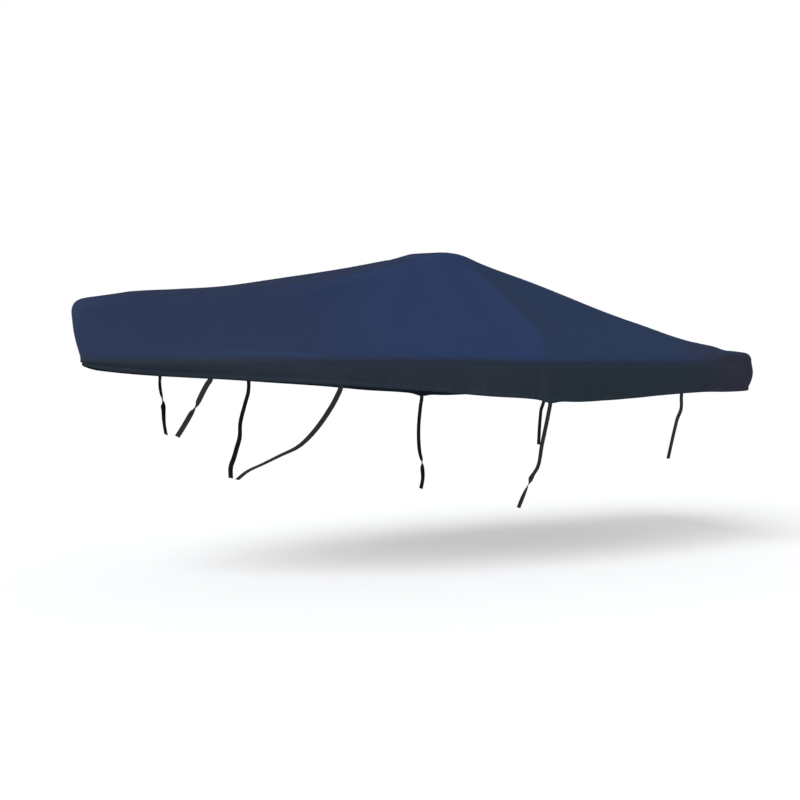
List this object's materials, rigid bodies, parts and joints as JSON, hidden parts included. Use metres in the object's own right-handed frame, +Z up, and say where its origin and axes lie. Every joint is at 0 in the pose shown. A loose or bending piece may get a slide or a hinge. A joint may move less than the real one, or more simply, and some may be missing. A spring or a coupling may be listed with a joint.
{
  "type": "boat cover",
  "caption": "Fitted cover of thin navy cloth, draped over a raised peak, with side skirts that end in a gathered hem and black webbing straps that tie it down.",
  "frame": {"origin": "underside of the cloth at the middle of its raised peak, where what it covers holds it up", "axes": "+X from the bow towards the stern, +Y towards starboard, +Z up"},
  "size_m": [5.7225, 2.166, 2.0683],
  "materials": {
    "cloth": "coated plain weave",
    "webbing": "woven webbing"
  },
  "bodies": {
    "root": {"top_panel": "cloth", "skirt_port": "cloth", "skirt_starboard": "cloth", "skirt_stern": "cloth", "strap_port_1": "webbing", "strap_port_2": "webbing", "strap_port_3": "webbing", "strap_port_4": "webbing", "strap_starboard_1": "webbing", "strap_starboard_2": "webbing", "strap_starboard_3": "webbing", "strap_starboard_4": "webbing"}
  },
  "joints": []
}
